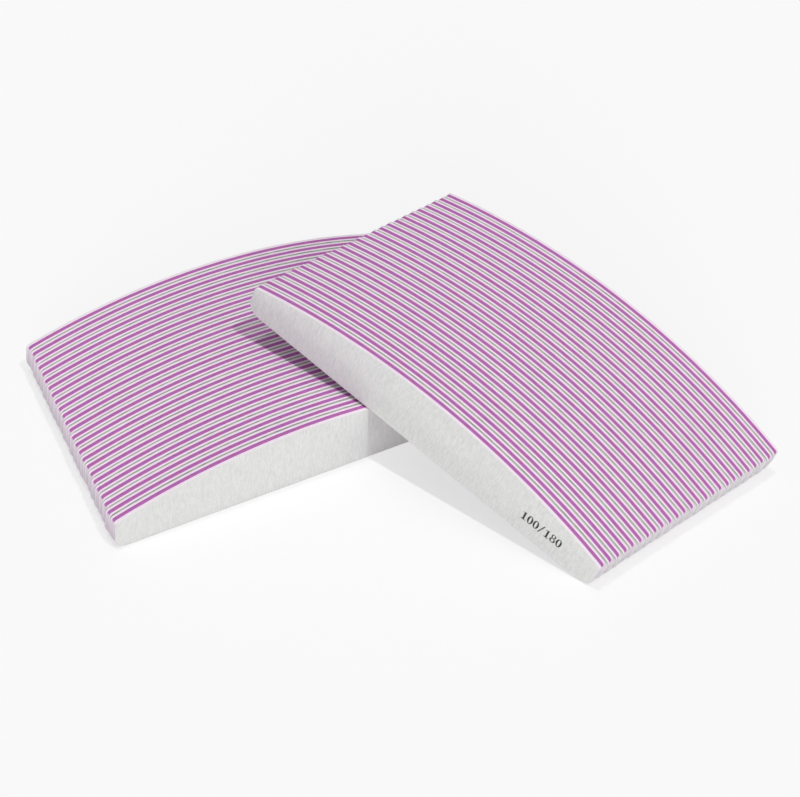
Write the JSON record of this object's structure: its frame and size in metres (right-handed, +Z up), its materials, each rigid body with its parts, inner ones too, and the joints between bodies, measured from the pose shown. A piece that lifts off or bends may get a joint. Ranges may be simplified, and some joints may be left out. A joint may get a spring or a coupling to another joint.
{
  "type": "emery board pack",
  "caption": "Half-moon emery boards with abrasive paper on foam over a coloured core, in two stacks, one lying and one leaning across it.",
  "frame": {"origin": "the middle of the lying stack's base, on the surface that the pack rests on", "axes": "+X along the lying stack to the right, +Y from its front face to its back, +Z up"},
  "size_m": [0.2629, 0.2155, 0.0575],
  "materials": {
    "core": "matte",
    "foam": "matte",
    "paper": "matte",
    "facing": "matte"
  },
  "bodies": {
    "lying_stack": {"lying_cores": "core", "lying_front_foams": "foam", "lying_back_foams": "foam", "lying_front_papers": "paper", "lying_back_papers": "paper"},
    "leaning_board_01": {"leaning_board_01_core": "core", "leaning_board_01_front_foam": "foam", "leaning_board_01_back_foam": "foam", "leaning_board_01_front_paper": "paper", "leaning_board_01_back_paper": "paper"},
    "leaning_board_02": {"leaning_board_02_core": "core", "leaning_board_02_facings": "facing"},
    "leaning_board_03": {"leaning_board_03_core": "core", "leaning_board_03_facings": "facing"},
    "leaning_board_04": {"leaning_board_04_core": "core", "leaning_board_04_facings": "facing"},
    "leaning_board_05": {"leaning_board_05_core": "core", "leaning_board_05_facings": "facing"},
    "leaning_board_06": {"leaning_board_06_core": "core", "leaning_board_06_facings": "facing"},
    "leaning_board_07": {"leaning_board_07_core": "core", "leaning_board_07_facings": "facing"},
    "leaning_board_08": {"leaning_board_08_core": "core", "leaning_board_08_facings": "facing"},
    "leaning_board_09": {"leaning_board_09_core": "core", "leaning_board_09_facings": "facing"},
    "leaning_board_10": {"leaning_board_10_core": "core", "leaning_board_10_facings": "facing"},
    "leaning_board_11": {"leaning_board_11_core": "core", "leaning_board_11_facings": "facing"},
    "leaning_board_12": {"leaning_board_12_core": "core", "leaning_board_12_facings": "facing"},
    "leaning_board_13": {"leaning_board_13_core": "core", "leaning_board_13_facings": "facing"},
    "leaning_board_14": {"leaning_board_14_core": "core", "leaning_board_14_facings": "facing"},
    "leaning_board_15": {"leaning_board_15_core": "core", "leaning_board_15_facings": "facing"},
    "leaning_board_16": {"leaning_board_16_core": "core", "leaning_board_16_facings": "facing"},
    "leaning_board_17": {"leaning_board_17_core": "core", "leaning_board_17_facings": "facing"},
    "leaning_board_18": {"leaning_board_18_core": "core", "leaning_board_18_facings": "facing"},
    "leaning_board_19": {"leaning_board_19_core": "core", "leaning_board_19_facings": "facing"},
    "leaning_board_20": {"leaning_board_20_core": "core", "leaning_board_20_facings": "facing"},
    "leaning_board_21": {"leaning_board_21_core": "core", "leaning_board_21_facings": "facing"},
    "leaning_board_22": {"leaning_board_22_core": "core", "leaning_board_22_facings": "facing"},
    "leaning_board_23": {"leaning_board_23_core": "core", "leaning_board_23_facings": "facing"},
    "leaning_board_24": {"leaning_board_24_core": "core", "leaning_board_24_facings": "facing"},
    "leaning_board_25": {"leaning_board_25_core": "core", "leaning_board_25_facings": "facing"}
  },
  "joints": [
    {"name": "lift_out_01", "type": "slide", "parent": "lying_stack", "child": "leaning_board_01", "axis": [0.0446, -0.2518, 0.9668], "range_m": [0, 0.035]},
    {"name": "lift_out_02", "type": "slide", "parent": "lying_stack", "child": "leaning_board_02", "axis": [0.0446, -0.2518, 0.9668], "range_m": [0, 0.035]},
    {"name": "lift_out_03", "type": "slide", "parent": "lying_stack", "child": "leaning_board_03", "axis": [0.0446, -0.2518, 0.9668], "range_m": [0, 0.035]},
    {"name": "lift_out_04", "type": "slide", "parent": "lying_stack", "child": "leaning_board_04", "axis": [0.0446, -0.2518, 0.9668], "range_m": [0, 0.035]},
    {"name": "lift_out_05", "type": "slide", "parent": "lying_stack", "child": "leaning_board_05", "axis": [0.0446, -0.2518, 0.9668], "range_m": [0, 0.035]},
    {"name": "lift_out_06", "type": "slide", "parent": "lying_stack", "child": "leaning_board_06", "axis": [0.0446, -0.2518, 0.9668], "range_m": [0, 0.035]},
    {"name": "lift_out_07", "type": "slide", "parent": "lying_stack", "child": "leaning_board_07", "axis": [0.0446, -0.2518, 0.9668], "range_m": [0, 0.035]},
    {"name": "lift_out_08", "type": "slide", "parent": "lying_stack", "child": "leaning_board_08", "axis": [0.0446, -0.2518, 0.9668], "range_m": [0, 0.035]},
    {"name": "lift_out_09", "type": "slide", "parent": "lying_stack", "child": "leaning_board_09", "axis": [0.0446, -0.2518, 0.9668], "range_m": [0, 0.035]},
    {"name": "lift_out_10", "type": "slide", "parent": "lying_stack", "child": "leaning_board_10", "axis": [0.0446, -0.2518, 0.9668], "range_m": [0, 0.035]},
    {"name": "lift_out_11", "type": "slide", "parent": "lying_stack", "child": "leaning_board_11", "axis": [0.0446, -0.2518, 0.9668], "range_m": [0, 0.035]},
    {"name": "lift_out_12", "type": "slide", "parent": "lying_stack", "child": "leaning_board_12", "axis": [0.0446, -0.2518, 0.9668], "range_m": [0, 0.035]},
    {"name": "lift_out_13", "type": "slide", "parent": "lying_stack", "child": "leaning_board_13", "axis": [0.0446, -0.2518, 0.9668], "range_m": [0, 0.035]},
    {"name": "lift_out_14", "type": "slide", "parent": "lying_stack", "child": "leaning_board_14", "axis": [0.0446, -0.2518, 0.9668], "range_m": [0, 0.035]},
    {"name": "lift_out_15", "type": "slide", "parent": "lying_stack", "child": "leaning_board_15", "axis": [0.0446, -0.2518, 0.9668], "range_m": [0, 0.035]},
    {"name": "lift_out_16", "type": "slide", "parent": "lying_stack", "child": "leaning_board_16", "axis": [0.0446, -0.2518, 0.9668], "range_m": [0, 0.035]},
    {"name": "lift_out_17", "type": "slide", "parent": "lying_stack", "child": "leaning_board_17", "axis": [0.0446, -0.2518, 0.9668], "range_m": [0, 0.035]},
    {"name": "lift_out_18", "type": "slide", "parent": "lying_stack", "child": "leaning_board_18", "axis": [0.0446, -0.2518, 0.9668], "range_m": [0, 0.035]},
    {"name": "lift_out_19", "type": "slide", "parent": "lying_stack", "child": "leaning_board_19", "axis": [0.0446, -0.2518, 0.9668], "range_m": [0, 0.035]},
    {"name": "lift_out_20", "type": "slide", "parent": "lying_stack", "child": "leaning_board_20", "axis": [0.0446, -0.2518, 0.9668], "range_m": [0, 0.035]},
    {"name": "lift_out_21", "type": "slide", "parent": "lying_stack", "child": "leaning_board_21", "axis": [0.0446, -0.2518, 0.9668], "range_m": [0, 0.035]},
    {"name": "lift_out_22", "type": "slide", "parent": "lying_stack", "child": "leaning_board_22", "axis": [0.0446, -0.2518, 0.9668], "range_m": [0, 0.035]},
    {"name": "lift_out_23", "type": "slide", "parent": "lying_stack", "child": "leaning_board_23", "axis": [0.0446, -0.2518, 0.9668], "range_m": [0, 0.035]},
    {"name": "lift_out_24", "type": "slide", "parent": "lying_stack", "child": "leaning_board_24", "axis": [0.0446, -0.2518, 0.9668], "range_m": [0, 0.035]},
    {"name": "lift_out_25", "type": "slide", "parent": "lying_stack", "child": "leaning_board_25", "axis": [0.0446, -0.2518, 0.9668], "range_m": [0, 0.035]}
  ]
}
